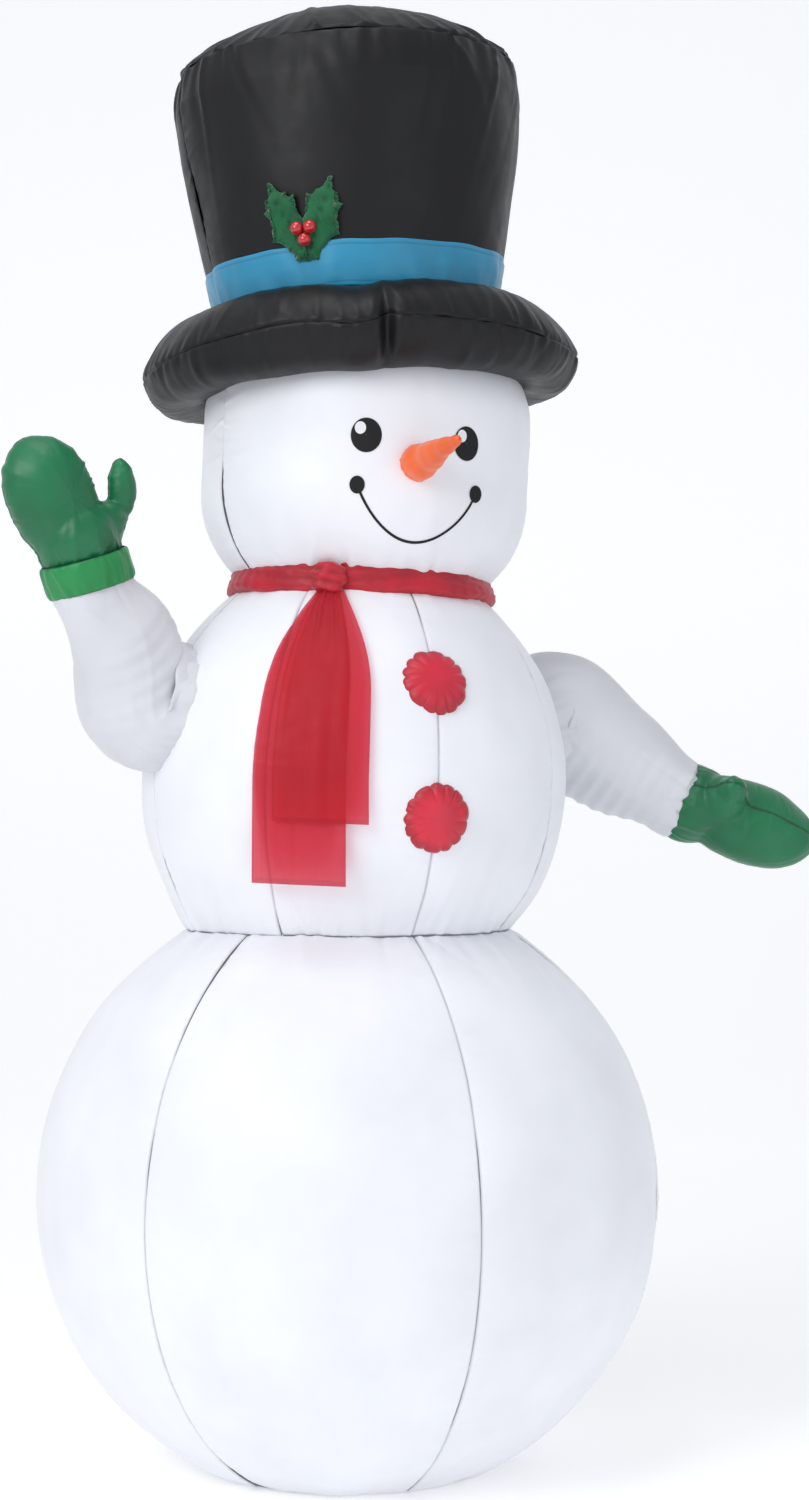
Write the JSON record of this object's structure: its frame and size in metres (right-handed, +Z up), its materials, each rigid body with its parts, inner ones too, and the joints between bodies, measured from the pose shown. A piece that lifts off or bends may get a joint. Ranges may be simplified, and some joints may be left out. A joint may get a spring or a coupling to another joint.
{
  "type": "inflatable yard snowman",
  "caption": "Air-filled cloth snowman with a top hat, scarf and mittens, kept up by a blower in its lower back.",
  "frame": {"origin": "centre of the round base, on the ground", "axes": "+Z up, -Y out of the snowman's front, +X to the snowman's left"},
  "size_m": [1.7327, 1.3076, 3.0477],
  "materials": {
    "white_cloth": "thin coated nylon, soft sheen",
    "black_cloth": "thin coated nylon, satin",
    "blue_ribbon": "satin ribbon",
    "green_felt": "felt",
    "red_berry": "glossy moulded",
    "orange_cloth": "thin coated nylon",
    "red_button_cloth": "thin coated nylon, satin",
    "red_scarf_cloth": "thin see-through nylon",
    "green_cloth": "thin coated nylon, satin",
    "grey_plastic": "fine moulded grain",
    "black_plastic": "moulded",
    "filter_foam": "open foam",
    "steel": "zinc plated",
    "motor_can": "drawn can",
    "lamp_dome": "frosted dome",
    "lead_rubber": "white cable sheath",
    "webbing": "woven tape",
    "zip_cloth": "woven tape with moulded teeth",
    "zip_metal": "white enamel"
  },
  "bodies": {
    "envelope": {"base_panel": "white_cloth", "lower_gore_1": "white_cloth", "lower_gore_2": "white_cloth", "lower_gore_3": "white_cloth", "lower_gore_4": "white_cloth", "lower_gore_5": "white_cloth", "lower_gore_6": "white_cloth", "torso_gore_1": "white_cloth", "torso_gore_2": "white_cloth", "torso_gore_3": "white_cloth", "torso_gore_4": "white_cloth", "torso_gore_5": "white_cloth", "torso_gore_6": "white_cloth", "torso_gore_7": "white_cloth", "torso_gore_8": "white_cloth", "face_panel": "white_cloth", "head_back_left": "white_cloth", "head_back_right": "white_cloth", "right_shoulder_gusset": "white_cloth", "left_shoulder_gusset": "white_cloth", "hat_side_front": "black_cloth", "hat_side_back": "black_cloth", "hat_top": "black_cloth", "brim_over": "black_cloth", "brim_under": "black_cloth", "hat_band": "blue_ribbon", "holly_leaves": "green_felt", "holly_berries": "red_berry", "carrot_nose": "orange_cloth", "coat_buttons": "red_button_cloth", "scarf_neck_band": "red_scarf_cloth", "scarf_knot": "red_scarf_cloth", "blower_housing": "grey_plastic", "clamp_ring": "grey_plastic", "motor_bracket": "grey_plastic", "intake_grille": "grey_plastic", "power_inlet": "black_plastic", "lamp_sockets": "black_plastic", "filter_screen": "filter_foam", "flange_screws": "steel", "fan_motor": "motor_can", "lamp_bulbs": "lamp_dome", "lamp_lead": "lead_rubber", "lamp_hanger": "webbing", "tether_tabs": "webbing", "ground_loops": "webbing", "zip_tape": "zip_cloth"},
    "fan": {"impeller": "black_plastic", "fan_shaft": "steel"},
    "zip_slider": {"zip_slider": "zip_metal"},
    "zip_pull": {"zip_pull": "zip_metal"},
    "scarf_under": {"scarf_under_tail": "red_scarf_cloth"},
    "scarf_front": {"scarf_front_tail": "red_scarf_cloth"},
    "tether_ring_left": {"tether_ring_left": "steel"},
    "tether_ring_right": {"tether_ring_right": "steel"},
    "right_arm": {"right_sleeve": "white_cloth", "right_cuff": "green_cloth", "right_mitten": "green_cloth"},
    "left_arm": {"left_sleeve": "white_cloth", "left_mitten": "green_cloth"}
  },
  "joints": [
    {"name": "impeller_spin", "type": "hinge", "parent": "envelope", "child": "fan", "pos_m": [0.27154, 0.52162, 0.29908], "axis": [0.4185, 0.8039, -0.4226], "continuous": true},
    {"name": "zip_travel", "type": "hinge", "parent": "envelope", "child": "zip_slider", "pos_m": [-0.00034, 0.00788, 0.56962], "axis": [-0.999, -0.0436, 0], "range_deg": [0, 30]},
    {"name": "zip_pull_swing", "type": "hinge", "parent": "zip_slider", "child": "zip_pull", "pos_m": [-0.02873, 0.65802, 0.59631], "axis": [0.999, 0.0436, 0], "range_deg": [0, 80]},
    {"name": "scarf_under_swing", "type": "hinge", "parent": "envelope", "child": "scarf_under", "pos_m": [-0.14098, -0.24927, 1.79121], "axis": [-0.8235, 0.5662, 0.0372], "range_deg": [0, 30]},
    {"name": "scarf_front_swing", "type": "hinge", "parent": "scarf_under", "child": "scarf_front", "pos_m": [-0.11961, -0.26992, 1.79017], "axis": [-0.8752, 0.4823, 0.038], "range_deg": [0, 25]},
    {"name": "tether_ring_left_swing", "type": "hinge", "parent": "envelope", "child": "tether_ring_left", "pos_m": [0.29158, 0.26391, 1.67564], "axis": [0.7065, -0.7069, -0.0349], "range_deg": [0, 120]},
    {"name": "tether_ring_right_swing", "type": "hinge", "parent": "envelope", "child": "tether_ring_right", "pos_m": [-0.25095, 0.26378, 1.69516], "axis": [0.7068, 0.7072, -0.0159], "range_deg": [0, 120]},
    {"name": "right_arm_flex", "type": "hinge", "parent": "envelope", "child": "right_arm", "pos_m": [-0.43338, -0.0063, 1.59569], "axis": [0, 1, 0], "range_deg": [-8, 8], "stiffness_Nm_per_rad": 14, "deforming": ["right_shoulder_gusset"]},
    {"name": "left_arm_flex", "type": "hinge", "parent": "envelope", "child": "left_arm", "pos_m": [0.46652, -0.00609, 1.56331], "axis": [0, -1, 0], "range_deg": [-8, 8], "stiffness_Nm_per_rad": 14, "deforming": ["left_shoulder_gusset"]}
  ]
}
